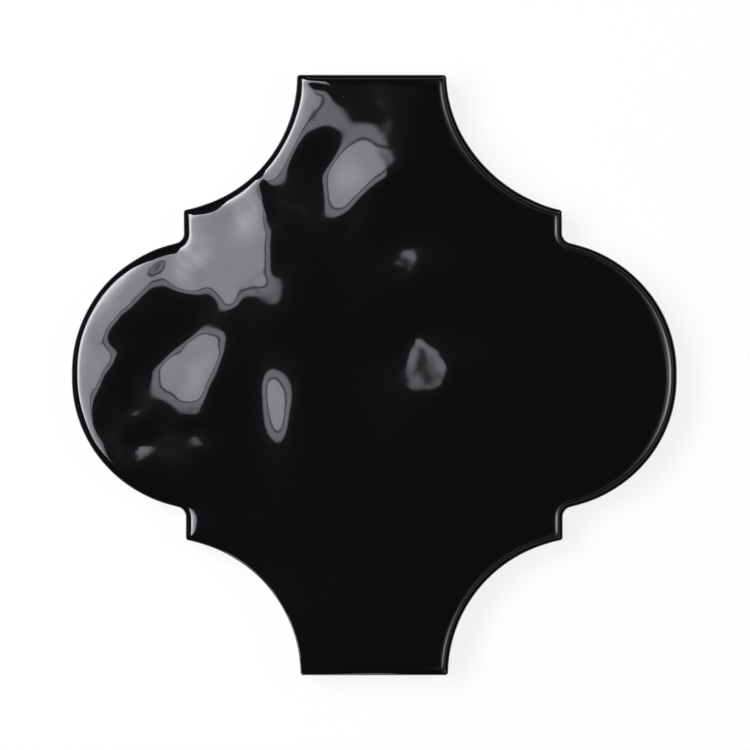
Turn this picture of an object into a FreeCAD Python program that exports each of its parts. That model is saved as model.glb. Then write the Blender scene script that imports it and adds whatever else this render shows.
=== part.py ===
import FreeCAD, Part
import math
import os

# Arabesque wall tile: one pressed, glazed and fired piece.
# Millimetres. The origin is the middle of the bedding face, X runs across the two lobes,
# Y runs between the two straight edges and Z rises to the glazed face.

V = FreeCAD.Vector

# Plan of the tile
length = 119.7              # Y, straight edge to straight edge
width = 120.6               # X, lobe tip to lobe tip
edge_length = 29.5          # each of the two straight edges
lobe_radius = 27.2          # the two round ends
step_span = 75.2            # X, between the small upright steps either side of the waist
step_rise = 4.61            # Y, upright part of a step, between its lobe and the recess above
step_root_radius = 1.9      # hollow between a step and its lobe
corner_radius = 0.6         # the eight outward corners, seen from above

# Section of the tile
thickness = 9.0             # bedding face to the level of the glazed face
rim_radius = 1.8            # rounded edge where the glaze rolls over the side
back_chamfer = 0.6          # pressed edge round the bedding face

# Keying on the bedding face: grooves that run across the tile inside a plain border
back_border = 5.0
groove_pitch = 9.0
groove_width = 5.4
groove_depth = 0.8

# The glazed face is not flat: it ripples as hand-pressed tiles do. Each ripple is one sloping
# patch of the face: its middle (x, y), its spread along and across the way that it faces,
# that way in degrees round from X, and how steep it is at its middle.
ripples = [
    (-27.0, 22.5, 7.0, 14.0, 168.0, 0.068),
    (-38.0, 20.0, 7.0, 8.0, 120.0, 0.058),
    (-37.0, 1.0, 6.5, 8.5, 130.0, 0.080),
    (-19.8, -6.0, 6.0, 8.5, 190.0, 0.140),
    (-2.5, 41.5, 7.0, 7.5, 138.0, 0.080),
    (10.8, 2.0, 5.0, 5.5, 160.0, 0.125),
    (25.0, 20.0, 9.0, 12.0, 40.0, 0.050),
    (38.0, -3.0, 8.0, 10.0, 300.0, 0.045),
    (20.0, -22.0, 9.0, 11.0, 10.0, 0.045),
    (-8.0, -25.0, 9.0, 12.0, 250.0, 0.050),
    (4.0, -45.0, 8.0, 9.0, 60.0, 0.040),
    (12.0, 46.0, 7.0, 8.0, 20.0, 0.035),
    (50.0, 8.0, 6.0, 9.0, 80.0, 0.030),
    (-30.0, -19.0, 7.0, 8.0, 290.0, 0.035),
]
level_band = 2.2            # the ripples die away to a level band inside the rim
pole_pitch = 4.0            # spacing of the poles that shape the rippled face


def quarter(inset):
    """Corner points and arc centres of the first quadrant, for the outline moved in by inset."""
    lobe_centre = V(width / 2 - lobe_radius, 0, 0)
    root_x = step_span / 2 + step_root_radius
    reach = lobe_radius + step_root_radius
    root_y = math.sqrt(reach ** 2 - (root_x - lobe_centre.x) ** 2)
    root_centre = V(root_x, root_y, 0)

    # The recess leaves the straight edge square to it and runs down to the top of the step.
    # Its radius comes out the same as the lobe's, because a neighbour's lobe nests in it.
    across = (step_span - edge_length) / 2
    down = length / 2 - root_y - step_rise
    recess_radius = (across ** 2 + down ** 2) / (2 * across)
    recess_centre = V(edge_length / 2 + recess_radius, length / 2, 0)

    top = length / 2 - inset
    side = step_span / 2 - inset
    recess = recess_radius + inset
    lobe = lobe_radius - inset
    edge_end_x = recess_centre.x - math.sqrt(recess ** 2 - (recess_centre.y - top) ** 2)
    step_top_y = recess_centre.y - math.sqrt(recess ** 2 - (recess_centre.x - side) ** 2)
    toward_root = V(root_centre.x - lobe_centre.x, root_centre.y, 0).normalize()
    return {
        "recess_centre": recess_centre,
        "root_centre": root_centre,
        "recess_radius": recess,
        "root_radius": step_root_radius + inset,
        "edge_end": V(edge_end_x, top, 0),
        "step_top": V(side, step_top_y, 0),
        "step_foot": V(side, root_y, 0),
        "lobe_start": lobe_centre + toward_root * lobe,
        "lobe_tip": V(lobe_centre.x + lobe, 0, 0),
    }


def arc(centre, radius, start, end):
    """The short arc from start to end."""
    a0 = math.atan2(start.y - centre.y, start.x - centre.x)
    a1 = math.atan2(end.y - centre.y, end.x - centre.x)
    turn = (a1 - a0 + math.pi) % (2 * math.pi) - math.pi
    middle = a0 + turn / 2
    through = V(centre.x + radius * math.cos(middle), centre.y + radius * math.sin(middle), 0)
    return Part.Arc(start, through, end).toShape()


def line(start, end):
    return Part.LineSegment(start, end).toShape()


def outline(inset):
    """The closed plan of the tile, moved in by inset, on the plane of the bedding face."""
    q = quarter(inset)
    edges = []
    for sx, sy in ((1, 1), (-1, 1), (-1, -1), (1, -1)):
        p = {name: V(v.x * sx, v.y * sy, 0) for name, v in q.items() if hasattr(v, "x")}
        edges.append(arc(p["recess_centre"], q["recess_radius"], p["edge_end"], p["step_top"]))
        edges.append(line(p["step_top"], p["step_foot"]))
        edges.append(arc(p["root_centre"], q["root_radius"], p["step_foot"], p["lobe_start"]))
    for side in (1, -1):
        start = V(side * q["lobe_start"].x, q["lobe_start"].y, 0)
        tip = V(side * q["lobe_tip"].x, 0, 0)
        end = V(start.x, -start.y, 0)
        edges.append(Part.Arc(start, tip, end).toShape())
        left = V(-q["edge_end"].x, side * q["edge_end"].y, 0)
        right = V(q["edge_end"].x, side * q["edge_end"].y, 0)
        edges.append(line(left, right))
    return Part.Wire(Part.__sortEdges__(edges))


def face_height(x, y):
    """Height of the rippled glazed face over the bedding face."""
    z = thickness
    for middle_x, middle_y, along, across, facing, slope in ripples:
        c = math.cos(math.radians(facing))
        s = math.sin(math.radians(facing))
        u = (x - middle_x) * c + (y - middle_y) * s
        v = (y - middle_y) * c - (x - middle_x) * s
        z -= slope * u * math.exp(-0.5 * ((u / along) ** 2 + (v / across) ** 2))
    return z


def plan_corners(block):
    """The upright edges at the ends of the straight edges and at the tops of the steps."""
    q = quarter(0)
    found = []
    for edge in block.Edges:
        start = edge.Vertexes[0].Point
        upright = edge.BoundBox.ZLength > thickness / 2
        for corner in (q["edge_end"], q["step_top"]):
            near = V(abs(start.x), abs(start.y), 0).distanceToPoint(corner) < corner_radius / 10
            if upright and near:
                found.append(edge)
    return found


def rounded_block():
    """The plan raised to the level of the face, with its corners, rim and back edge worked."""
    block = Part.Face(outline(0)).extrude(V(0, 0, thickness))
    block = block.makeFillet(corner_radius, plan_corners(block)).Solids[0]
    rim = [e for e in block.Edges if e.BoundBox.ZMin > thickness - rim_radius / 10]
    block = block.makeFillet(rim_radius, rim).Solids[0]
    low = [e for e in block.Edges if e.BoundBox.ZMax < back_chamfer / 10]
    return block.makeChamfer(back_chamfer, low).Solids[0]


def ripple_sheet():
    """A smooth sheet over the whole tile, exactly level outside the field of ripples."""
    border = outline(level_band)
    field = Part.Face(border)
    count = int(max(length, width) / pole_pitch) + 4
    places = [(i - (count - 1) / 2) * pole_pitch for i in range(count)]
    poles = []
    for x in places:
        row = []
        for y in places:
            rippled = pole_is_inside(x, y, field, border)
            row.append(V(x, y, face_height(x, y) if rippled else thickness))
        poles.append(row)
    knots = list(range(count - 2))
    repeats = [4] + [1] * (count - 4) + [4]
    sheet = Part.BSplineSurface()
    sheet.buildFromPolesMultsKnots(poles, repeats, repeats, knots, knots, False, False, 3, 3)
    return sheet.toShape()


def pole_is_inside(x, y, field, border):
    """Whether all that a pole of the sheet moves, two pitches each way, lies in the field."""
    reach = 2 * pole_pitch
    sides = ((-1, -1), (1, -1), (1, 1), (-1, 1), (-1, -1))
    square = Part.makePolygon([V(x + sx * reach, y + sy * reach, 0) for sx, sy in sides])
    corners_in = all(field.isInside(v.Point, 1e-6, True) for v in square.Vertexes)
    return corners_in and square.distToShape(border)[0] > 1e-3


def ripple_face(tile):
    """Exchange the middle of the tile for the same column with the rippled sheet on top."""
    column = Part.Face(outline(level_band)).extrude(V(0, 0, 2 * thickness))
    above = ripple_sheet().extrude(V(0, 0, 2 * thickness))
    return tile.cut(column).fuse(column.cut(above)).removeSplitter()


def grooves():
    """Keying grooves, mirrored about a middle rib so that the rib holds the origin."""
    field = Part.Face(outline(back_border)).extrude(V(0, 0, groove_depth))
    count = int((length / 2 - back_border) / groove_pitch)
    bars = []
    for i in range(count):
        middle = (i + 0.5) * groove_pitch
        for side in (1, -1):
            low = V(-width / 2, side * middle - groove_width / 2, 0)
            bars.append(Part.makeBox(width, groove_width, groove_depth, low))
    return field.common(Part.makeCompound(bars))


tile = ripple_face(rounded_block())
tile = tile.cut(grooves()).Solids[0]

os.makedirs("parts", exist_ok=True)
tile.exportStep("parts/arabesque_tile.step")
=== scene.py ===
# %% [markdown]
# # A black arabesque tile
# This lesson dresses one pressed and glazed wall tile. The imported model gives its true size and
# outline, so it is loaded first, and the finished tile is drawn to lie within its box.

# %% Load the imported tile
import bmesh
import bpy
import math
import numpy as np
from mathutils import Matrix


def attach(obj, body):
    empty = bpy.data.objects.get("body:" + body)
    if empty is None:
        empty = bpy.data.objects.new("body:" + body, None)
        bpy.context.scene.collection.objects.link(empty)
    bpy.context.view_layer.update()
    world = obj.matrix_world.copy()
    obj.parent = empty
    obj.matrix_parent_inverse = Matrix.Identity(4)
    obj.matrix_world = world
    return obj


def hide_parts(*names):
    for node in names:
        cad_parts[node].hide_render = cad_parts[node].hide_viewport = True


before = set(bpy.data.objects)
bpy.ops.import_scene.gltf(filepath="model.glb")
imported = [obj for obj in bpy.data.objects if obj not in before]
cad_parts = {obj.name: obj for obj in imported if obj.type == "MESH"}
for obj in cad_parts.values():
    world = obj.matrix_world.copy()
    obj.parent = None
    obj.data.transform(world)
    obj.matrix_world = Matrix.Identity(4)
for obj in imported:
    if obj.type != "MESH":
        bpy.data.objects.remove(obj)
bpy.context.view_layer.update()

MM = 0.001

# %% [markdown]
# ## The outline
# The tile is drawn from a few plain shapes: a straight edge, a hollow that a neighbour's round end
# drops into, a short upright step, a small hollow at its foot and the round end itself. The two
# axes mirror it, so only a quarter is drawn. Moving the whole outline inwards by an inset gives
# the rings that the sides, the rim and the face are made from, so the same few sizes place them
# all. A ring's outward corners are always rounded a little, as fired glaze is.

# %% Sizes of the outline
LENGTH = 119.7 * MM
WIDTH = 120.6 * MM
EDGE = 29.5 * MM
LOBE_R = 27.2 * MM
STEP_SPAN = 75.2 * MM
STEP_RISE = 4.61 * MM
ROOT_R = 1.9 * MM
CORNER_R = 0.6 * MM
WELD = 0.01 * MM              # points closer than this are one point

LOBE = (WIDTH / 2 - LOBE_R, 0.0)
ROOT_X = STEP_SPAN / 2 + ROOT_R
ROOT = (ROOT_X, math.sqrt((LOBE_R + ROOT_R) ** 2 - (ROOT_X - LOBE[0]) ** 2))
ACROSS = (STEP_SPAN - EDGE) / 2
DOWN = LENGTH / 2 - ROOT[1] - STEP_RISE
RECESS_R = (ACROSS ** 2 + DOWN ** 2) / (2 * ACROSS)
RECESS = (EDGE / 2 + RECESS_R, LENGTH / 2)
ROOT_TURN = math.atan2(ROOT[1], ROOT[0] - LOBE[0])
print("radius of the hollows, mm:", round(RECESS_R / MM, 2))

# %% [markdown]
# ## A ruler and a compass
# A draughtsman would draw this line with a ruler and a compass. In edit mode those are extrude,
# for the straight parts, and spin, for the arcs: both work on the single vertex at the pencil's
# point and leave the next one selected. Spin turns clockwise for a positive angle.

# %% The pencil: straight lines and arcs from the selected vertex
def pick(tile, wanted):
    """Select just the vertices whose place passes the test."""
    mesh = bmesh.from_edit_mesh(tile.data)
    bpy.ops.mesh.select_all(action="DESELECT")
    for vert in mesh.verts:
        vert.select = wanted(vert.co)
    mesh.select_flush(True)
    bmesh.update_edit_mesh(tile.data)


def rule(dx, dy, steps):
    """Draw a straight line in equal steps."""
    for _ in range(steps):
        bpy.ops.mesh.extrude_region_move(
            TRANSFORM_OT_translate={"value": (dx / steps, dy / steps, 0)})


def compass(centre, z, start, end, steps):
    """Swing round the centre from one direction to another, both in radians."""
    bpy.ops.mesh.spin(steps=steps, angle=start - end, center=(*centre, z), axis=(0, 0, 1))


print("pencil ready, lobe centre, mm:", round(LOBE[0] / MM, 2))

# %% [markdown]
# ## Drawing one ring
# The ring starts at the middle of the straight edge, turns its corner, follows the hollow, turns
# down the step, rounds the small hollow at its foot and ends at the tip of the lobe. Every ring
# gets the same number of steps, so that the rings can be bridged one to the next with clean quads.

# %% One ring, from edge to lobe
STEPS = {"edge": 18, "corner": 6, "recess": 52, "step": 5, "root": 8, "lobe": 50}


def draw_ring(tile, inset, z):
    """A quarter of the outline, from the Y axis round to the tip of the lobe."""
    top = LENGTH / 2 - inset
    side = STEP_SPAN / 2 - inset
    recess_r = RECESS_R + inset
    reach = recess_r + CORNER_R
    edge_x = RECESS[0] - math.sqrt(reach ** 2 - (RECESS[1] - top + CORNER_R) ** 2)
    edge_corner = (edge_x, top - CORNER_R)
    step_x = side - CORNER_R
    step_corner = (step_x, RECESS[1] - math.sqrt(reach ** 2 - (RECESS[0] - step_x) ** 2))
    toward_edge = math.atan2(RECESS[1] - edge_corner[1], RECESS[0] - edge_corner[0])
    toward_step = math.atan2(RECESS[1] - step_corner[1], RECESS[0] - step_corner[0])

    bpy.ops.mesh.select_all(action="DESELECT")
    bpy.ops.mesh.primitive_plane_add(size=MM, location=(0, top, z))
    bpy.ops.mesh.merge(type="CENTER")
    rule(edge_x, 0, STEPS["edge"])
    compass(edge_corner, z, math.pi / 2, toward_edge, STEPS["corner"])
    compass(RECESS, z, math.pi + toward_edge, math.pi + toward_step, STEPS["recess"])
    compass(step_corner, z, toward_step, 0, STEPS["corner"])
    rule(0, ROOT[1] - step_corner[1], STEPS["step"])
    compass(ROOT, z, math.pi, math.pi + ROOT_TURN, STEPS["root"])
    compass(LOBE, z, ROOT_TURN, 0, STEPS["lobe"])


print("points in a quarter ring:", sum(STEPS.values()) + STEPS["corner"] + 1)

# %% [markdown]
# ## The section of the tile
# A potter would call these rings the section of the tile: bedding face, broken edge, bare clay
# side, the lip where the glaze stopped running, the glazed side, the rolled rim and the start of
# the face. Each ring has a kind, an inset and a height. The heights of the rim and the face are
# worked out later, point by point, so they stand as nought here.

# %% The section, ring by ring
BACK_BORDER = 5.0 * MM
CLAY_STEP = 0.2 * MM          # the bare clay stands back behind the glaze
BACK_BREAK = 0.6 * MM
GLAZE_LINE = 2.6 * MM
HAIR = 0.03 * MM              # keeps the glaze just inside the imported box

# The rolled rim as a template would hold it: how far in, and how far below the face, in mm
rim = [
    (0, 0.852), (0.007, 0.774), (0.027, 0.698), (0.06, 0.627), (0.105, 0.562),
    (0.155, 0.512), (0.25, 0.455), (0.4, 0.369), (0.55, 0.286), (0.7, 0.208),
    (0.85, 0.14), (1.0, 0.088), (1.2, 0.038), (1.4, 0.009), (1.6, 0),
]
section = [
    ("flat", BACK_BORDER, 0.0),
    ("flat", CLAY_STEP + BACK_BREAK, 0.0),
    ("flat", CLAY_STEP, BACK_BREAK),
    ("wavy", CLAY_STEP, GLAZE_LINE),
    ("wavy", 0.35 * CLAY_STEP, GLAZE_LINE + 0.08 * MM),
    ("wavy", HAIR, GLAZE_LINE + 0.35 * MM),
]
for inset, _ in rim:
    section.append(("rippled", HAIR + inset * MM, 0.0))
for inset in (2.0, 2.5, 3.0, 3.6, 4.2, 4.8):
    section.append(("rippled", inset * MM, 0.0))
print("rings:", len(section))

# %% [markdown]
# ## Stacking the rings
# Each ring is drawn on its own floor, ten millimetres above the last, only so that it can be
# picked by its height. Bridging joins each ring to the next, as one loop of quads. The rings come
# down to their real heights once the mesh is whole.

# %% Draw the rings and bridge them
FLOOR = 10 * MM

bpy.ops.object.select_all(action="DESELECT")
bpy.ops.mesh.primitive_plane_add(size=MM)
tile = bpy.context.object
tile.name = "glazed_tile"
bpy.ops.object.mode_set(mode="EDIT")
bpy.ops.mesh.select_all(action="SELECT")
bpy.ops.mesh.delete(type="VERT")
for floor, (_, inset, _) in enumerate(section):
    draw_ring(tile, inset, floor * FLOOR)
for floor in range(len(section) - 1):
    pick(tile, lambda co: (floor - 0.5) * FLOOR < co.z < (floor + 1.5) * FLOOR)
    bpy.ops.mesh.bridge_edge_loops()
print("faces between the rings:", len(bmesh.from_edit_mesh(tile.data).faces))

# %% [markdown]
# ## Closing the face and the back
# The top and bottom rings are each closed with one flat face: two lines are drawn along the axes,
# and the loop is filled. A single face can't ripple, so the top one is cut into a fine grid with
# bisect, as a cook cuts a tray of pastry. Cutting keeps the outline exactly as it was drawn,
# which a grid laid over it would not.

# %% Fill both ends, then cut the face into a grid
GRID = 0.6 * MM


def close_quarter(tile, inset, z):
    """Fill between a ring and the two axes."""
    top, tip = LENGTH / 2 - inset, WIDTH / 2 - inset
    pick(tile, lambda co: abs(co.z - z) < MM and abs(co.x) < WELD)
    rule(0, -top, 1)
    rule(tip, 0, 1)
    pick(tile, lambda co: abs(co.z - z) < MM)
    bpy.ops.mesh.remove_doubles(threshold=WELD)
    bpy.ops.mesh.edge_face_add()


face_z = (len(section) - 1) * FLOOR
close_quarter(tile, section[0][1], 0.0)
close_quarter(tile, section[-1][1], face_z)
for axis, reach in ((0, WIDTH / 2), (1, LENGTH / 2)):
    for i in range(1, int(reach / GRID)):
        at, normal = [0, 0, 0], [0, 0, 0]
        at[axis], normal[axis] = i * GRID, 1
        pick(tile, lambda co: co.z > face_z - MM)
        bpy.ops.mesh.bisect(plane_co=at, plane_no=normal)
bpy.ops.object.mode_set(mode="OBJECT")
print("quarter tile:", len(tile.data.polygons), "faces")

# %% [markdown]
# ## Mirroring the quarter
# A mirror modifier across both axes makes the whole tile and welds the seams. It is applied at
# once, because the ripples that follow are not the same from quarter to quarter.

# %% Mirror across both axes
mirror = tile.modifiers.new("quarters", "MIRROR")
mirror.use_axis = (True, True, False)
mirror.use_mirror_merge = True
mirror.merge_threshold = WELD
bpy.ops.object.modifier_apply(modifier="quarters")
print("whole tile:", len(tile.data.polygons), "faces")

# %% [markdown]
# ## Key grooves on the back
# A pressed wall tile has grooves across its back, so that the adhesive can grip. The die that
# makes them tapers, or the clay would tear as it leaves. So each strip is cut out of the back
# with bisect, inset a little, and only the inner part is pushed in, which leaves sloping sides.
# Points closer than 1.2 mm are merged first, because at the sharp ends of a groove the inset
# would turn so short an edge inside out.

# %% Cut and sink the grooves
GROOVE_PITCH = 9.0 * MM
GROOVE_WIDTH = 5.4 * MM
GROOVE_DEPTH = 0.8 * MM
GROOVE_DRAFT = 0.25 * MM
GROOVES_A_SIDE = 6
SHORT_EDGE = 1.2 * MM


def pick_faces(tile, wanted):
    """Select just the faces whose centre passes the test."""
    mesh = bmesh.from_edit_mesh(tile.data)
    bpy.ops.mesh.select_all(action="DESELECT")
    for face in mesh.faces:
        if wanted(face.calc_center_median()):
            face.select_set(True)
    bmesh.update_edit_mesh(tile.data)


def on_back(centre):
    return centre.z < 0.1 * MM


def in_groove(y):
    """Grooves lie either side of a rib that runs through the middle."""
    return abs(abs(y) % GROOVE_PITCH - GROOVE_PITCH / 2) < GROOVE_WIDTH / 2


bpy.ops.object.mode_set(mode="EDIT")
bpy.ops.mesh.select_mode(type="FACE")
for i in range(GROOVES_A_SIDE):
    for wall in (GROOVE_PITCH - GROOVE_WIDTH, GROOVE_PITCH + GROOVE_WIDTH):
        for side in (-1, 1):
            pick_faces(tile, on_back)
            bpy.ops.mesh.bisect(plane_co=(0, side * (i * GROOVE_PITCH + wall / 2), 0),
                                plane_no=(0, 1, 0))
pick_faces(tile, lambda centre: on_back(centre) and in_groove(centre.y))
bpy.ops.mesh.remove_doubles(threshold=SHORT_EDGE)
bpy.ops.mesh.inset(thickness=GROOVE_DRAFT, use_boundary=True)
bpy.ops.transform.translate(value=(0, 0, GROOVE_DEPTH))
mesh = bmesh.from_edit_mesh(tile.data)
print("groove floors:", sum(face.select for face in mesh.faces), "faces")
bpy.ops.mesh.select_all(action="SELECT")
bpy.ops.mesh.normals_make_consistent(inside=False)

# %% [markdown]
# ## Ripples in the glazed face
# A hand-worked tile is never flat: its face swells and dips by a few tenths of a millimetre, and
# that is what breaks the mirror image of the window into a few odd patches. Each ripple here is
# one soft slope. It is given by its place, its reach along and across the way it faces, that
# direction in degrees, and how steep it is in the middle. The first group is as in the imported
# model, and the second group is the finer hammering that only shows as reflections.

# %% The ripples: x, y, along, across in mm, then facing and slope
ripples = [
    (-27, 22.5, 7, 14, 168, 0.068),
    (-38, 20, 7, 8, 120, 0.058),
    (-37, 1, 6.5, 8.5, 130, 0.080),
    (-19.8, -6, 6, 8.5, 190, 0.140),
    (-2.5, 41.5, 7, 7.5, 138, 0.080),
    (10.8, 2, 5, 5.5, 160, 0.125),
    (25, 20, 9, 12, 40, 0.050),
    (38, -3, 8, 10, 300, 0.045),
    (20, -22, 9, 11, 10, 0.045),
    (-8, -25, 9, 12, 250, 0.050),
    (4, -45, 8, 9, 60, 0.040),
    (12, 46, 7, 8, 20, 0.035),
    (50, 8, 6, 9, 80, 0.030),
    (-30, -19, 7, 8, 290, 0.035),
]
fine_ripples = [
    (-15.36, 53.67, 1.29, 1.5, 258.6, 0.0243),
    (-14.85, 54.84, 1.19, 1.77, 159.5, 0.0733),
    (-13.14, 58.41, 1.16, 3.17, 260, 0.1033),
    (-12.94, 58.38, 2.43, 1.1, 316.4, 0.0508),
    (-12.49, 57.17, 2.01, 4.34, 258.3, 0.0994),
    (-6.6, 53.23, 3.79, 1.85, 164.8, 0.0288),
    (-21.69, 44.61, 4.49, 1.1, 65.3, 0.0492),
    (-17.64, 45.66, 5.36, 1.87, 45.3, 0.0229),
    (-13.71, 46.57, 5.91, 5.54, 246.1, 0.0745),
    (-12.74, 49.04, 3.64, 1.7, 92.4, 0.0225),
    (-12.54, 50.72, 4.36, 1.79, 12.8, 0.0167),
    (-4.57, 49.98, 3.96, 2.1, 155, 0.0355),
    (-4.19, 45.4, 2.31, 6, 8.2, 0.0151),
    (-2.6, 45.28, 3.24, 6, 60.7, 0.0270),
    (-23.57, 40.36, 1.36, 6, 312.5, 0.0172),
    (-22.04, 39.62, 3.32, 2.14, 357.5, 0.0166),
    (-21.68, 37.05, 4.96, 2.27, 323, 0.0480),
    (-6.64, 43.88, 3.61, 5.86, 214.2, 0.0603),
    (-6.45, 39.11, 4.84, 5.66, 253.9, 0.0708),
    (-5.08, 41.47, 2.3, 6, 159.4, 0.0091),
    (-4.9, 40.43, 5.28, 2.38, 157.6, 0.0541),
    (3.07, 41.34, 4.81, 2.19, 193.4, 0.0290),
    (-25.52, 31.78, 2.24, 2.22, 171.3, 0.0677),
    (-24.76, 30.82, 5.99, 2.47, 165.5, 0.0165),
    (-21.64, 33.06, 1.79, 5.72, 13.4, 0.0435),
    (-0.67, 34.57, 6, 1.1, 227.8, 0.0105),
    (6.32, 29.74, 1.79, 6, 239.6, 0.0586),
    (-49.95, 21.83, 1.1, 6, 310.7, 0.0640),
    (-45.01, 20.96, 1.6, 4.43, 0.6, 0.0192),
    (-44.3, 21.75, 1.74, 5.07, 307.8, 0.0292),
    (-42.34, 23.16, 3.66, 3.33, 17, 0.0106),
    (-37.43, 20.76, 2.92, 3.08, 173.8, 0.0363),
    (-36.06, 24.59, 3.02, 5.8, 160.6, 0.0511),
    (-35.94, 25.15, 1.35, 2.44, 341.5, 0.0495),
    (-35.63, 20.2, 1.69, 1.85, 306.7, 0.0416),
    (-35.26, 22.71, 1.2, 6, 226, 0.0853),
    (-30.14, 24.23, 6, 3.82, 82.9, 0.0513),
    (-22.33, 24.07, 2.07, 1.15, 98.7, 0.0239),
    (-21.06, 27.96, 6, 2.29, 144.9, 0.0468),
    (-21.02, 22.54, 1.1, 2.28, 167.5, 0.0171),
    (-20.28, 20.1, 5.08, 3.15, 150.7, 0.0835),
    (5.46, 22.03, 4.2, 2.21, 116.1, 0.0361),
    (5.79, 23.52, 4.37, 6, 87, 0.0548),
    (6.54, 22.54, 2.04, 2.23, 341.8, 0.0206),
    (7.09, 21.66, 2.27, 3.15, 159.1, 0.0211),
    (-56.37, 16.1, 2.76, 5.85, 321.3, 0.0457),
    (-54.19, 14.51, 1.32, 6, 140.5, 0.0764),
    (-51.3, 14.27, 1.48, 1.1, 90, 0.0247),
    (-45.43, 19.47, 3.04, 1.73, 114.3, 0.0244),
    (-31.88, 15.85, 1.67, 5.96, 42.7, 0.1014),
    (-28.41, 17.39, 2.51, 1.56, 35, 0.0164),
    (-27.79, 19.25, 1.1, 1.1, 110, 0.0194),
    (-24.4, 19.35, 2.01, 1.2, 350.2, 0.0163),
    (-18.72, 13.85, 3.88, 3.81, 77.8, 0.0938),
    (-15.84, 18.9, 5.91, 3.06, 95.3, 0.0459),
    (7.5, 19.32, 1.7, 1.85, 112.1, 0.0241),
    (-53.81, 6.99, 1.1, 4.73, 191, 0.0202),
    (-52.96, 10.89, 2.79, 2.32, 177.2, 0.0912),
    (-50.21, 8.54, 2.28, 5.91, 169, 0.0241),
    (-34.45, 10.45, 6, 1.69, 118.5, 0.0168),
    (-30.68, 11.54, 6, 4.17, 198.5, 0.0543),
    (-30.1, 9.8, 3.85, 1.81, 242.4, 0.0297),
    (7.8, 7.88, 1.88, 2.38, 130.7, 0.0444),
    (7.82, 5.83, 2.63, 2.51, 113.1, 0.0404),
    (11.33, 5.85, 4.35, 1.36, 135.9, 0.0299),
    (-52.25, 3.83, 4.6, 3.67, 77.2, 0.0873),
    (-40.06, 3.86, 4.94, 1.25, 198.4, 0.0139),
    (-37.97, -0.15, 3.19, 1.87, 296.7, 0.0529),
    (-37.47, -0.36, 5.82, 3.11, 155.3, 0.0628),
    (-35.53, -3.99, 3.43, 3.43, 169.8, 0.0543),
    (-21.39, -1.54, 5.13, 2.19, 117.4, 0.0268),
    (10.25, 1.88, 2.89, 5.88, 314.9, 0.0447),
    (10.87, 0.85, 5.98, 5.91, 50.1, 0.0762),
    (12.06, -0.5, 2.29, 2.43, 254.1, 0.0207),
    (12.29, 3.62, 1.35, 2.19, 32.2, 0.0138),
    (12.91, 0.64, 5.99, 6, 58.4, 0.0556),
    (13.11, -2.08, 1.68, 2.84, 144.8, 0.0250),
    (14.2, -2.34, 1.19, 1.66, 150.3, 0.0218),
    (-56.35, -4.68, 4.6, 1.32, 89.4, 0.0262),
    (-49.11, -7.34, 4.51, 1.27, 85.4, 0.0291),
    (-47.13, -7.52, 2.42, 1.4, 99.6, 0.0537),
    (-46.23, -8.81, 1.84, 1.4, 81, 0.0653),
    (-45.35, -10.44, 3.81, 2.87, 310.7, 0.0573),
    (-36.12, -9.91, 1.17, 2.02, 267.5, 0.0959),
    (-32.76, -4.97, 1.75, 4.89, 151.3, 0.0419),
    (-32.34, -10.7, 6, 6, 99.9, 0.0447),
    (-17.4, -8.2, 2.54, 6, 169.1, 0.0190),
    (7.72, -5.6, 1.16, 6, 233.9, 0.0601),
    (-48.36, -17.02, 2.21, 4.4, 128.7, 0.0354),
    (-46.98, -14.12, 1.63, 2.57, 110.6, 0.0447),
    (-46.47, -15.12, 2.84, 6, 61.4, 0.1080),
    (-46.41, -17.49, 1.51, 1.62, 83.1, 0.0538),
    (-35.99, -13.51, 3.23, 1.57, 349.8, 0.0292),
    (-34.87, -13.83, 2.24, 2.66, 68.4, 0.0789),
    (-34.62, -12.87, 2.35, 5.95, 145.9, 0.0169),
    (-33.46, -14.23, 3.32, 2.36, 128.3, 0.0273),
]
print("ripples:", len(ripples), "and finer ones:", len(fine_ripples))

# %% [markdown]
# ## The shape of one ripple
# A ripple is a slope that fades away on all sides, so it lifts the face on one side of its place
# and lowers it on the other, as a thumb that pushes the clay along does. All of them are added up.

# %% Add the ripples up
def ripple_height(x, y):
    """How far the ripples lift the face at these places."""
    height = np.zeros_like(x)
    for place_x, place_y, along, across, facing, slope in ripples + fine_ripples:
        turn = math.radians(facing)
        dx, dy = x - place_x * MM, y - place_y * MM
        u = dx * math.cos(turn) + dy * math.sin(turn)
        v = dy * math.cos(turn) - dx * math.sin(turn)
        height -= slope * u * np.exp(-0.5 * ((u / along / MM) ** 2 + (v / across / MM) ** 2))
    return height


print("ripples at the middle, mm:", round(float(ripple_height(*np.zeros((2, 1)))[0]) / MM, 3))

# %% [markdown]
# ## The cushioned edge
# Towards the outline a pressed face falls away slowly before it turns over the rim, like a
# pillow. The fall depends on the distance to the nearest edge, so that distance is worked out
# for each of the three kinds of edge, and a soft minimum blends them. A plain minimum would leave
# a crease where two edges are equally near.

# %% Distance from the outline, and the cushion
CUSHION_DROP = 0.65 * MM
CUSHION_REACH = 2.24 * MM
CUSHION_BLEND = 1.2 * MM


def distance_in(x, y):
    """Distance inwards from the outline, blended where two edges meet."""
    x, y = np.abs(x), np.abs(y)
    from_edge = LENGTH / 2 - y
    from_recess = np.hypot(x - RECESS[0], y - RECESS[1]) - RECESS_R
    from_lobe = LOBE_R - np.hypot(x - LOBE[0], y)
    from_root = np.hypot(x - ROOT[0], y - ROOT[1]) - ROOT_R
    from_step = STEP_SPAN / 2 - x
    round_lobe = np.arctan2(y, x - LOBE[0]) < ROOT_TURN
    from_side = np.where(round_lobe, from_lobe, np.where(y < ROOT[1], from_root, from_step))
    parts = [np.exp(-d / CUSHION_BLEND) for d in (from_edge, from_recess, from_side)]
    return -CUSHION_BLEND * np.log(np.sum(parts, axis=0))


print("middle to the nearest edge, mm:", round(float(distance_in(0.0, 0.0)) / MM, 1))

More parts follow.
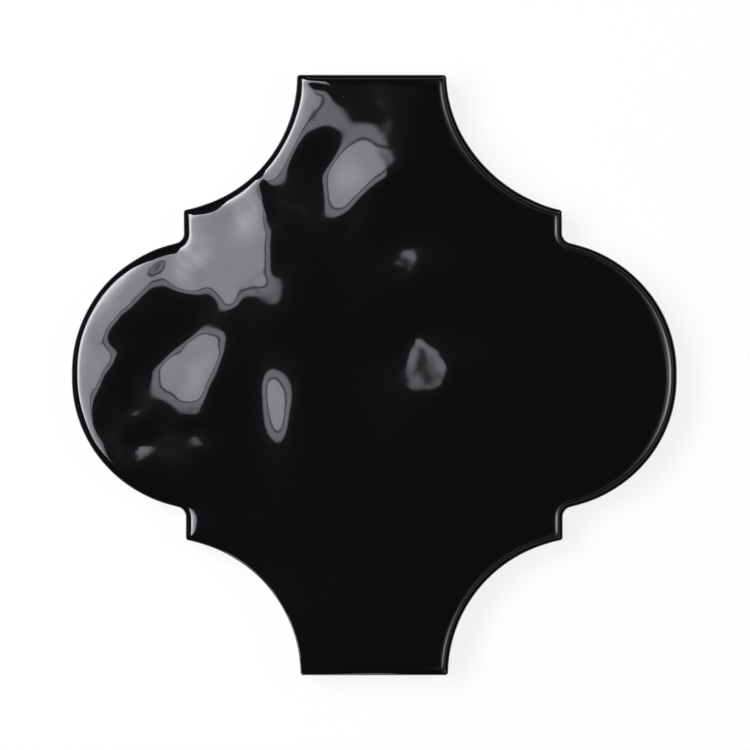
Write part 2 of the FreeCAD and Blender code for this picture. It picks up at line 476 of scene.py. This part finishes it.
# %% [markdown]
# ## Uneven tightness of the rim
# The rim of a hand-glazed tile isn't rolled equally tight all round. Where the glaze is thin the
# rim is tight, and catches its light close to the outline; where it pooled the rim is wider. So
# the rim's template is squeezed or stretched from place to place. The lower left hollow is so
# sharp that it catches no light at all, and its cushion is nearly gone.

# %% How tight the rim is: x, y and reach in mm, then how much tighter
sharp_hollow = (-18.5, -53, 9)
tighter = [
    (-51, 20.5, 4, 0.12), (-42, 25.5, 4, -0.25), (-32, 35, 4, -0.35), (22, 46, 10, -0.15),
    (54, 14, 10, -0.08), (54, -14, 10, -0.08), (-58, -10, 11, -0.28), (-40, -31, 6, -0.28),
    (*sharp_hollow, 7.0),
]


def nearness(x, y, place_x, place_y, reach):
    """One at the place, falling softly to nothing within about three times the reach."""
    return np.exp(-0.5 * (np.hypot(x / MM - place_x, y / MM - place_y) / reach) ** 2)


def rim_tightness(x, y):
    """One where the rim follows its template, and more where it is tighter."""
    return 1 + sum(more * nearness(x, y, *place) for *place, more in tighter)


print("places with a rim of their own:", len(tighter))

# %% [markdown]
# ## Small errors of the outline
# The die and the drying leave small errors. The hollow at the upper left is cut less deep than
# its three sisters, the upper end leans a little to the left, and the lobes are fuller at their
# shoulders and flatter near the steps than a true arc. All of them are smaller than a grout
# joint, but they place the reflections along the edge.

# %% The errors, in mm
left_lean = [(12, 0), (19, -0.1), (23, -0.1), (27, -0.4), (30, -0.45), (40, -0.47), (45, -0.61),
             (50, -0.7), (60, -0.77)]
right_lean = [(12, 0), (19, -0.08), (28, -0.12), (33, -0.18), (35, 0.42), (38, 0.45),
              (41, 0.35), (45, 0.18), (49, 0), (55, -0.2), (60, -0.31)]
lobe_error = [(0, 0), (8, 0.09), (15, 0.14), (24, 0.16), (34, 0.15), (44, 0.09), (50, 0.04),
              (58, -0.04), (66, -0.1), (75, -0.2), (90, 0)]


def outline_shift(x, y):
    """How far a point moves sideways and lengthwise."""
    from_left = np.interp(x / MM, (-20, 20), (0, 1))
    lean = np.interp(y / MM, *zip(*left_lean)) * (1 - from_left)
    lean += np.interp(y / MM, *zip(*right_lean)) * from_left
    from_centre = np.abs(x) - LOBE[0]
    radius = np.maximum(np.hypot(from_centre, y), MM)
    turn = np.degrees(np.arctan2(np.abs(y), from_centre))
    push = np.interp(turn, *zip(*lobe_error)) * np.clip(radius / LOBE_R, 0, 1) ** 6
    push = np.where(turn < 90, push, 0) / radius
    return (lean + push * from_centre * np.sign(x)) * MM, push * y * MM


print("lean at the upper end, mm:", left_lean[-1][1], "and", right_lean[-1][1])

# %% [markdown]
# ## Sculpting the heights
# Now every ring comes down from its drawing height to its real one. Hundreds of small grabs with
# a sculpting brush would do the same, but sums place each point exactly. Points of the face get
# ripples and cushion, points of the rim follow the rolled edge below that, and the lip where the
# glaze ran down wanders by a fraction of a millimetre. The floors of the grooves keep their depth.

# %% Move each point to its real height
LEVEL = 8.85 * MM
WANDER = 0.22 * MM
CUSHION_LOST = 0.9            # the share of the cushion that the sharp hollow lacks

bpy.ops.object.mode_set(mode="OBJECT")
points = np.empty(len(tile.data.vertices) * 3)
tile.data.vertices.foreach_get("co", points)
points = points.reshape(-1, 3)
x, y = points[:, 0].copy(), points[:, 1].copy()
floors = np.round(points[:, 2] / FLOOR).astype(int)
relief = points[:, 2] - floors * FLOOR
kinds, insets, heights = (np.array(column)[floors] for column in zip(*section))
rolled = -np.interp(rim_tightness(x, y) * (insets - HAIR) / MM, *zip(*rim)) * MM
wander = WANDER * (np.sin(x / MM / 7 + 0.7) + 0.6 * np.sin(y / MM / 4.5 - x / MM / 11))
shift_x, shift_y = outline_shift(x, y)
points[:, 0] += shift_x
points[:, 1] += shift_y
cushion = CUSHION_DROP * np.exp(-distance_in(points[:, 0], points[:, 1]) / CUSHION_REACH)
cushion *= 1 - CUSHION_LOST * nearness(x, y, *sharp_hollow)
face_height = LEVEL + ripple_height(points[:, 0], points[:, 1]) - cushion
points[:, 2] = relief + np.where(kinds == "rippled", rolled, heights)
points[:, 2] += np.where(kinds == "rippled", face_height, 0)
points[:, 2] += np.where(kinds == "wavy", wander, 0)
tile.data.vertices.foreach_set("co", points.ravel())
tile.data.update()
print("face height, mm:", round(points[:, 2].max() / MM, 3))
print("largest shift, mm:", round(np.hypot(shift_x, shift_y).max() / MM, 2))

# %% [markdown]
# ## A small helper for materials
# Every material here is a few nodes. One helper adds a node, sets its inputs and joins it to the
# nodes before it. Colours are written as the hex values that a picture would show, and one
# function turns them into the linear values that light adds up in.

# %% Helpers for nodes and colours
def linear(code):
    """A colour such as "#0c0c0d" as linear red, green, blue and alpha."""
    parts = [int(code[i:i + 2], 16) / 255 for i in (1, 3, 5)]
    return (*[p / 12.92 if p <= 0.04045 else ((p + 0.055) / 1.055) ** 2.4 for p in parts], 1)


def new_material(name):
    """An empty node tree for a new material."""
    material = bpy.data.materials.new(name)
    material.use_nodes = True
    material.node_tree.nodes.clear()
    return material.node_tree


def add(tree, kind, inputs=(), stops=(), **settings):
    """Add a node. An input is a value or another node's output; stops are a ramp's colours."""
    node = tree.nodes.new("ShaderNode" + kind)
    for name, value in settings.items():
        setattr(node, name, value)
    for at, _ in stops[1:-1]:
        node.color_ramp.elements.new(at)
    for i, (at, colour) in enumerate(stops):
        node.color_ramp.elements[i].position = at
        node.color_ramp.elements[i].color = colour
    for name, value in dict(inputs).items():
        if isinstance(value, bpy.types.NodeSocket):
            tree.links.new(value, node.inputs[name])
        else:
            node.inputs[name].default_value = value
    return node


print("mid grey as light:", round(linear("#808080")[0], 3))

# %% [markdown]
# ## Black glaze
# The face is covered with a black gloss glaze, poured on and fired at about 1050 degrees. It is
# glass over clay, and the iron and manganese that make it black raise its refractive index to
# about 1.75. It is nearly black all through, so all that the eye gets is the mirror image of the
# light on its surface. That surface is fire-polished, with a roughness near zero, but it puddles
# over the clay's grain with slow waves a few millimetres long, and a few gas bubbles have healed
# as shallow pin-pricks less than half a millimetre across.

# %% The glaze
glaze = new_material("black_gloss_glaze")
place = add(glaze, "TexCoord")
swell = add(glaze, "TexNoise", {"Vector": place.outputs["Object"], "Scale": 220,
                                "Detail": 1.5, "Roughness": 0.4})
pricks = add(glaze, "TexVoronoi", {"Vector": place.outputs["Object"], "Scale": 110})
prick = add(glaze, "MapRange", {"Value": pricks.outputs["Distance"], "From Min": 0.0,
                                "From Max": 0.025, "To Min": 0.0, "To Max": 1.0},
            interpolation_type="SMOOTHSTEP")
waves = add(glaze, "Bump", {"Height": swell.outputs["Fac"], "Strength": 1.0,
                            "Distance": 0.004 * MM})
pitted = add(glaze, "Bump", {"Height": prick.outputs["Result"], "Strength": 0.15,
                             "Distance": 0.05 * MM, "Normal": waves.outputs["Normal"]})
coat = add(glaze, "BsdfPrincipled", {"Base Color": linear("#0c0c0d"), "Roughness": 0.03,
                                     "IOR": 1.75, "Normal": pitted.outputs["Normal"]})
add(glaze, "OutputMaterial", {"Surface": coat.outputs["BSDF"]})
print("glaze nodes:", len(glaze.nodes))

# %% [markdown]
# ## Fired clay
# Below the glaze line and on the back the tile is bare biscuit: buff earthenware pressed from a
# plastic body with a little crushed pot in it. It is quite rough and scatters light evenly. Its
# colour drifts a little from place to place, and here and there a grain of about half a
# millimetre is a shade darker than the clay around it.

# %% The clay
clay = new_material("buff_earthenware_biscuit")
place = add(clay, "TexCoord")
cloud = add(clay, "TexNoise", {"Vector": place.outputs["Object"], "Scale": 60, "Detail": 4})
grain = add(clay, "TexVoronoi", {"Vector": place.outputs["Object"], "Scale": 1900})
body = add(clay, "ValToRGB", {"Fac": cloud.outputs["Fac"]}, stops=[
    (0.3, linear("#cdb594")), (0.7, linear("#dccab0"))])
speck = add(clay, "ValToRGB", {"Fac": grain.outputs["Color"]}, stops=[
    (0.1, linear("#d8cbb8")), (0.3, linear("#ffffff"))])
tint = add(clay, "VectorMath", {0: body.outputs["Color"], 1: speck.outputs["Color"]},
           operation="MULTIPLY")
rough_skin = add(clay, "Bump", {"Height": grain.outputs["Distance"], "Strength": 0.5,
                                "Distance": 0.08 * MM})
biscuit = add(clay, "BsdfPrincipled", {"Base Color": tint.outputs["Vector"], "Roughness": 0.85,
                                       "IOR": 1.5, "Normal": rough_skin.outputs["Normal"]})
add(clay, "OutputMaterial", {"Surface": biscuit.outputs["BSDF"]})
print("clay nodes:", len(clay.nodes))

# %% [markdown]
# ## Dressing the tile
# The tile is one fired piece, so it stays one mesh with two materials. The rings up to the lip of
# the glaze are bare clay, and all above them is glazed.

# %% Give each face its material
GLAZE_LIP = 3                 # the ring where the glaze stopped running

tile.data.materials.append(bpy.data.materials["black_gloss_glaze"])
tile.data.materials.append(bpy.data.materials["buff_earthenware_biscuit"])
for polygon in tile.data.polygons:
    if max(floors[i] for i in polygon.vertices) <= GLAZE_LIP:
        polygon.material_index = 1
print("faces of bare clay:", sum(p.material_index for p in tile.data.polygons))

# %% [markdown]
# ## Smooth skin and flat back
# Fired glaze has no facets, so everything is shaded smooth but for corners sharper than 35
# degrees. The flats of the back were pressed against a steel plate, so they are shaded flat. Then
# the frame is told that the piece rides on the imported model's only body and stands for its tile.

# %% Shade it, and tell the frame what the piece is
bpy.ops.object.select_all(action="DESELECT")
tile.select_set(True)
bpy.context.view_layer.objects.active = tile
bpy.ops.object.shade_smooth_by_angle(angle=math.radians(35))
bpy.ops.object.mode_set(mode="EDIT")
bpy.ops.mesh.select_mode(type="FACE")
bpy.ops.mesh.select_all(action="DESELECT")
mesh = bmesh.from_edit_mesh(tile.data)
for face in mesh.faces:
    face.select_set(face.normal.z < -0.999)
bmesh.update_edit_mesh(tile.data)
bpy.ops.mesh.faces_shade_flat()
bpy.ops.object.mode_set(mode="OBJECT")
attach(tile, "root")
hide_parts("arabesque_tile")
print("faces shaded flat:", sum(not p.use_smooth for p in tile.data.polygons))

# %% [markdown]
# ## The floor
# The tile lies on a big plain sheet. The tile's outline is cut out of the sheet under it, so that
# the back can be looked at: one ring is drawn as before, and extruded outwards sixty times its
# size.

# %% Draw the floor round the tile
SHEET_SPREAD = 60

bpy.ops.object.select_all(action="DESELECT")
bpy.ops.mesh.primitive_plane_add(size=MM)
floor_sheet = bpy.context.object
floor_sheet.name = "floor_sheet"
bpy.ops.object.mode_set(mode="EDIT")
bpy.ops.mesh.select_mode(type="VERT")
bpy.ops.mesh.select_all(action="SELECT")
bpy.ops.mesh.delete(type="VERT")
draw_ring(floor_sheet, CLAY_STEP + BACK_BREAK, 0.0)
bpy.ops.mesh.select_all(action="SELECT")
bpy.ops.mesh.extrude_region_move()
bpy.ops.transform.resize(value=(SHEET_SPREAD, SHEET_SPREAD, 1), center_override=(0, 0, 0))
bpy.ops.object.mode_set(mode="OBJECT")
halves = floor_sheet.modifiers.new("quarters", "MIRROR")
halves.use_axis = (True, True, False)
halves.merge_threshold = WELD
bpy.ops.object.modifier_apply(modifier="quarters")
bpy.ops.object.mode_set(mode="EDIT")
bpy.ops.mesh.select_all(action="SELECT")
bpy.ops.mesh.normals_make_consistent(inside=False)
if bmesh.from_edit_mesh(floor_sheet.data).faces[:][0].normal.z < 0:
    bpy.ops.mesh.flip_normals()
bpy.ops.object.mode_set(mode="OBJECT")
print("floor width, m:", round(floor_sheet.dimensions.x, 2))

# %% [markdown]
# ## White paper
# The sheet is matt white paper. A photographer lights such a sheet from below as well, until it
# is pure white in the picture, and here the paper glows. Only the camera and mirror images see
# that glow; it lights nothing, and the tile's soft shadow stays. The underside lets light
# through, so that it doesn't hide the back.

# %% The paper
GLOW = 0.84                   # the share of the paper's brightness that is its own

paper = new_material("white_paper_sweep")
light_path = add(paper, "LightPath")
seen = add(paper, "Math", {0: light_path.outputs["Is Camera Ray"],
                           1: light_path.outputs["Is Glossy Ray"]}, operation="MAXIMUM")
seen = add(paper, "Math", {0: seen.outputs["Value"],
                           1: light_path.outputs["Is Transmission Ray"]}, operation="MAXIMUM")
lift = add(paper, "Emission", {"Color": linear("#ffffff"), "Strength": seen.outputs["Value"]})
matte = add(paper, "BsdfDiffuse", {"Color": linear("#f4f4f4")})
lifted = add(paper, "MixShader", {"Fac": GLOW, 1: matte.outputs["BSDF"],
                                  2: lift.outputs["Emission"]})
side_seen = add(paper, "NewGeometry")
through = add(paper, "BsdfTransparent")
sheet = add(paper, "MixShader", {"Fac": side_seen.outputs["Backfacing"],
                                 1: lifted.outputs["Shader"], 2: through.outputs["BSDF"]})
add(paper, "OutputMaterial", {"Surface": sheet.outputs["Shader"]})
floor_sheet.data.materials.append(bpy.data.materials["white_paper_sweep"])
print("paper nodes:", len(paper.nodes))

# %% [markdown]
# ## A dark tent with one big window
# A black glossy thing has no shade of its own, so a photographer lights it by choosing what it
# mirrors. Here that is a tent of black cloth, with one big soft window high on the left, a narrow
# strip on the right and a low card behind the strip. Nearly all the light on the sheet comes from
# the window. The camera sees none of them.

# %% The black tent
TENT_REACH = 2.3              # from the middle to a wall, in metres
TENT_HEIGHT = 1.4

bpy.ops.object.select_all(action="DESELECT")
bpy.ops.mesh.primitive_cube_add(size=2, location=(0, 0, 0))
tent = bpy.context.object
tent.name = "black_cloth_tent"
bpy.ops.object.mode_set(mode="EDIT")
bpy.ops.mesh.select_mode(type="FACE")
pick_faces(tent, lambda centre: centre.z < -0.5)  # the cube's floor
bpy.ops.mesh.delete(type="FACE")
bpy.ops.mesh.select_all(action="SELECT")
bpy.ops.transform.resize(value=(TENT_REACH, TENT_REACH, TENT_HEIGHT / 2),
                         center_override=(0, 0, -1))
bpy.ops.transform.translate(value=(0, 0, 1.0))
bpy.ops.object.mode_set(mode="OBJECT")
cloth = new_material("black_studio_cloth")
black = add(cloth, "BsdfDiffuse", {"Color": linear("#3c3c3c")})
add(cloth, "OutputMaterial", {"Surface": black.outputs["BSDF"]})
tent.data.materials.append(bpy.data.materials["black_studio_cloth"])
tent.visible_camera = False
print("tent height, m:", round(tent.dimensions.z, 3))

# %% [markdown]
# ## Panels of light
# Window, strip and card are all flat things that shine. One helper draws such a panel through its
# corners, point by point, as the rings were drawn. It fills the outline if there are enough
# corners, and leaves a plain line if there are only two.

# %% Draw a panel
def light_panel(name, corners, material):
    """A flat lamp through these corners, given in metres, drawn from one to the next."""
    bpy.ops.object.select_all(action="DESELECT")
    bpy.ops.mesh.primitive_plane_add(size=MM, location=corners[0])
    bpy.ops.object.transform_apply(location=True)
    panel = bpy.context.object
    panel.name = name
    bpy.ops.object.mode_set(mode="EDIT")
    bpy.ops.mesh.select_mode(type="VERT")
    bpy.ops.mesh.select_all(action="SELECT")
    bpy.ops.mesh.merge(type="CENTER")
    for last, corner in zip(corners, corners[1:]):
        step = [b - a for a, b in zip(last, corner)]
        bpy.ops.mesh.extrude_region_move(TRANSFORM_OT_translate={"value": step})
    bpy.ops.mesh.select_all(action="SELECT")
    bpy.ops.mesh.edge_face_add()
    bpy.ops.object.mode_set(mode="OBJECT")
    panel.data.materials.append(bpy.data.materials[material])
    panel.visible_camera = False
    return panel


def grey(level):
    """An even share of light, as red, green, blue and alpha."""
    return (level, level, level, 1)


print("panel helper ready, full light:", grey(1.0))

# %% [markdown]
# ## The cloth of the window
# The window is sewn of white cloth. Its near edge runs slantwise past the tile and carries a hem:
# a dimmer border 4 cm wide, then a dark seam 5 mm wide, which is the thin line that the tile
# mirrors inside each patch. Behind the seam the cloth brightens towards the middle and falls off
# again, with faint folds. The edge on the right fades out over 5 mm. The white is a little cool.

# %% How the cloth shines from place to place
NEAR_EDGE = 0.157             # from the tile's middle to the near edge, in metres
HEM_WIDTH = 0.064
CLOTH_WIDTH = 1.6
RIGHT_EDGE = -0.0235
RIGHT_HEM = 0.005
WINDOW_STRENGTH = 11.0

diffuser = new_material("window_diffuser")
place = add(diffuser, "TexCoord")
inward = add(diffuser, "VectorMath", {0: place.outputs["Object"],
                                      1: (-math.sqrt(0.5), math.sqrt(0.5), 0)},
             operation="DOT_PRODUCT")
from_rim = add(diffuser, "Math", {0: inward.outputs["Value"], 1: NEAR_EDGE},
               operation="SUBTRACT")
across_hem = add(diffuser, "Math", {0: from_rim.outputs["Value"], 1: HEM_WIDTH},
                 operation="DIVIDE")
hem = add(diffuser, "ValToRGB", {"Fac": across_hem.outputs["Value"]}, stops=[
    (0.0, grey(0.0)), (0.0625, grey(0.055)), (0.156, grey(0.4)), (0.25, grey(0.57)),
    (0.344, grey(0.595)), (0.648, grey(0.61)), (0.6875, grey(0.11)), (0.773, grey(0.11)),
    (0.8125, grey(1.0))])
across_cloth = add(diffuser, "Math", {0: from_rim.outputs["Value"], 1: CLOTH_WIDTH},
                   operation="DIVIDE")
fall = add(diffuser, "ValToRGB", {"Fac": across_cloth.outputs["Value"]}, stops=[
    (0.0325, grey(0.278)), (0.0675, grey(0.304)), (0.13, grey(0.348)), (0.1925, grey(0.407)),
    (0.255, grey(0.526)), (0.3175, grey(0.681)), (0.38, grey(0.807)), (0.474, grey(0.963)),
    (0.6, grey(0.978)), (0.755, grey(0.70)), (0.9, grey(0.45)), (1.0, grey(0.33))])
folds = add(diffuser, "TexNoise", {"Vector": place.outputs["Object"], "Scale": 5.0,
                                   "Detail": 1.0, "Roughness": 0.4})
uneven = add(diffuser, "MapRange", {"Value": folds.outputs["Fac"], "From Min": 0.3,
                                    "From Max": 0.7, "To Min": 0.92, "To Max": 1.08})
share = add(diffuser, "VectorMath", {0: fall.outputs["Color"], 1: hem.outputs["Color"]},
            operation="MULTIPLY")
along_x = add(diffuser, "SeparateXYZ", {"Vector": place.outputs["Object"]})
right_hem = add(diffuser, "MapRange", {"Value": along_x.outputs["X"], "From Min": RIGHT_EDGE,
                                       "From Max": RIGHT_EDGE - RIGHT_HEM,
                                       "To Min": 0.0, "To Max": 1.0})
share = add(diffuser, "VectorMath", {0: share.outputs["Vector"],
                                     "Scale": right_hem.outputs["Result"]}, operation="SCALE")
share = add(diffuser, "VectorMath", {0: share.outputs["Vector"], 1: linear("#f6f5ff")[:3]},
            operation="MULTIPLY")
level = add(diffuser, "Math", {0: uneven.outputs["Result"], 1: WINDOW_STRENGTH},
            operation="MULTIPLY")
light = add(diffuser, "Emission", {"Color": share.outputs["Vector"],
                                   "Strength": level.outputs["Value"]})
add(diffuser, "OutputMaterial", {"Surface": light.outputs["Emission"]})
print("window nodes:", len(diffuser.nodes))

# %% [markdown]
# ## The window on the left
# The cloth hangs level, 1.3 m above the floor. Its near edge is the slanting one, and its right
# edge ends just before the tile's middle, where the camera looks down past it.

# %% Hang the window
WINDOW_HEIGHT = 1.3
reach = NEAR_EDGE * math.sqrt(2)  # where the near edge would meet either axis

window = light_panel("window_left", [
    (-0.023, reach - 0.023, WINDOW_HEIGHT), (-0.023, 0.480, WINDOW_HEIGHT),
    (-0.150, 0.480, WINDOW_HEIGHT), (-0.770, 1.050, WINDOW_HEIGHT),
    (-1.600, 1.050, WINDOW_HEIGHT), (-1.600, -0.931, WINDOW_HEIGHT),
    (-0.931 - reach, -0.931, WINDOW_HEIGHT),
], "window_diffuser")
print("window width, m:", round(window.dimensions.x, 3))

# %% [markdown]
# ## The light of the strip
# A reflector bends round the right side, as high as the window. The rolled rim mirrors it as a
# thin line, strongest where the rim faces right. So its brightness depends on the distance from
# the tile's axis, which spreads the line over the rim, and falls quickly away from that heading,
# down to a faint rest.

# %% How the strip shines from place to place
STRIP_REACH = 1.8             # the strip's outer edge, from the axis, in metres
STRIP_STRENGTH = 4.9
FOCUS = 13.0                  # how quickly the light falls away from the right
REST = 0.09                   # the faint rest that stays on the whole right half

reflector = new_material("strip_diffuser")
place = add(reflector, "TexCoord")
flat_place = add(reflector, "VectorMath", {0: place.outputs["Object"], 1: (1, 1, 0)},
                 operation="MULTIPLY")
radius = add(reflector, "VectorMath", {0: flat_place.outputs["Vector"]}, operation="LENGTH")
heading = add(reflector, "VectorMath", {0: flat_place.outputs["Vector"]},
              operation="NORMALIZE")
to_right = add(reflector, "SeparateXYZ", {"Vector": heading.outputs["Vector"]})
to_right = add(reflector, "Math", {0: to_right.outputs["X"], 1: 0.0}, operation="MAXIMUM")
narrow = add(reflector, "Math", {0: to_right.outputs["Value"], 1: FOCUS}, operation="POWER")
narrow = add(reflector, "Math", {0: to_right.outputs["Value"], 1: REST,
                                 2: narrow.outputs["Value"]}, operation="MULTIPLY_ADD")
scaled = add(reflector, "Math", {0: radius.outputs["Value"], 1: STRIP_REACH}, operation="DIVIDE")
tube = add(reflector, "ValToRGB", {"Fac": scaled.outputs["Value"]}, stops=[
    (0.238, grey(0.0)), (0.253, grey(0.07)), (0.306, grey(0.15)), (0.389, grey(0.42)),
    (0.442, grey(0.65)), (0.528, grey(0.9)), (0.611, grey(0.95)), (0.694, grey(0.55)),
    (0.783, grey(0.2)), (0.88, grey(0.1)), (0.978, grey(0.05))])
tube_share = add(reflector, "VectorMath", {0: tube.outputs["Color"],
                                           "Scale": narrow.outputs["Value"]}, operation="SCALE")
light = add(reflector, "Emission", {"Color": tube_share.outputs["Vector"],
                                    "Strength": STRIP_STRENGTH})
add(reflector, "OutputMaterial", {"Surface": light.outputs["Emission"]})
print("strip nodes:", len(reflector.nodes))

# %% [markdown]
# ## The strip on the right
# A wide band bent round a circle is quickly made in one way: draw a single line outwards, and
# sweep it round the tile's axis with spin.

# %% Draw one line and sweep it round
STRIP_START, STRIP_END = -85, 90  # headings in degrees, 0 to the right
STRIP_NEAR = 0.43             # the strip's inner edge, from the axis, in metres


def swing(panel, start, end, z):
    """Sweep a drawn line round the tile, between two headings in degrees."""
    bpy.ops.object.mode_set(mode="EDIT")
    bpy.ops.mesh.select_all(action="SELECT")
    bpy.ops.mesh.spin(steps=24, angle=math.radians(start - end), center=(0, 0, z),
                      axis=(0, 0, 1))
    bpy.ops.object.mode_set(mode="OBJECT")
    print(panel.name, "faces:", len(panel.data.polygons))


def heading_point(radius, heading, z):
    """The point this far from the tile's axis, at a heading in degrees."""
    turn = math.radians(heading)
    return (radius * math.cos(turn), radius * math.sin(turn), z)


strip = light_panel("strip_right", [
    heading_point(STRIP_NEAR, STRIP_START, WINDOW_HEIGHT),
    heading_point(STRIP_REACH, STRIP_START, WINDOW_HEIGHT),
], "strip_diffuser")
swing(strip, STRIP_START, STRIP_END, WINDOW_HEIGHT)

# %% [markdown]
# ## The card behind it
# Low down behind the strip stands a grey card, swept round in the same way. Only the steepest
# part of the rim mirrors it, as a second, fainter line just inside the outline on the right.

# %% The grey card low down behind it
CARD_REACH = 2.1              # from the axis, in metres
CARD_FOOT, CARD_TOP = 0.72, 1.20
CARD_START, CARD_END = -75, 100

pale = new_material("grey_card")
light = add(pale, "Emission", {"Color": linear("#ffffff"), "Strength": 0.36})
add(pale, "OutputMaterial", {"Surface": light.outputs["Emission"]})
card = light_panel("low_card", [
    heading_point(CARD_REACH, CARD_START, CARD_FOOT),
    heading_point(CARD_REACH, CARD_START, CARD_TOP),
], "grey_card")
swing(card, CARD_START, CARD_END, CARD_FOOT)
print("card height, m:", round(CARD_TOP - CARD_FOOT, 2))

# %% [markdown]
# ## The world and the camera
# Outside the tent everything is plain white, which is what lights the back when it is looked at
# from below. The camera hangs straight above the tile, 90 cm up, with a long lens, so that the
# sides stay hidden and the outline is true. Its picture is as wide as the frame given here, at
# the height of the rim.

# %% World, camera and view
world = bpy.data.worlds.new("white_surround")
world.use_nodes = True
bpy.context.scene.world = world
world.node_tree.nodes["Background"].inputs["Color"].default_value = linear("#ffffff")
world.node_tree.nodes["Background"].inputs["Strength"].default_value = 1.0

CAMERA_HEIGHT = 0.9
RIM_HEIGHT = 7.5 * MM
OFF_CENTRE = 0.14 * MM
FRAME_WIDTH = 149.4 * MM
SENSOR_MM = 36

bpy.ops.object.camera_add(location=(OFF_CENTRE, 0, CAMERA_HEIGHT + RIM_HEIGHT),
                          rotation=(0, 0, 0))
camera = bpy.context.object
camera.data.sensor_width = SENSOR_MM
camera.data.lens = SENSOR_MM * CAMERA_HEIGHT / FRAME_WIDTH
bpy.context.scene.camera = camera
bpy.context.scene.view_settings.view_transform = "Standard"
print("lens, mm:", round(camera.data.lens, 1))
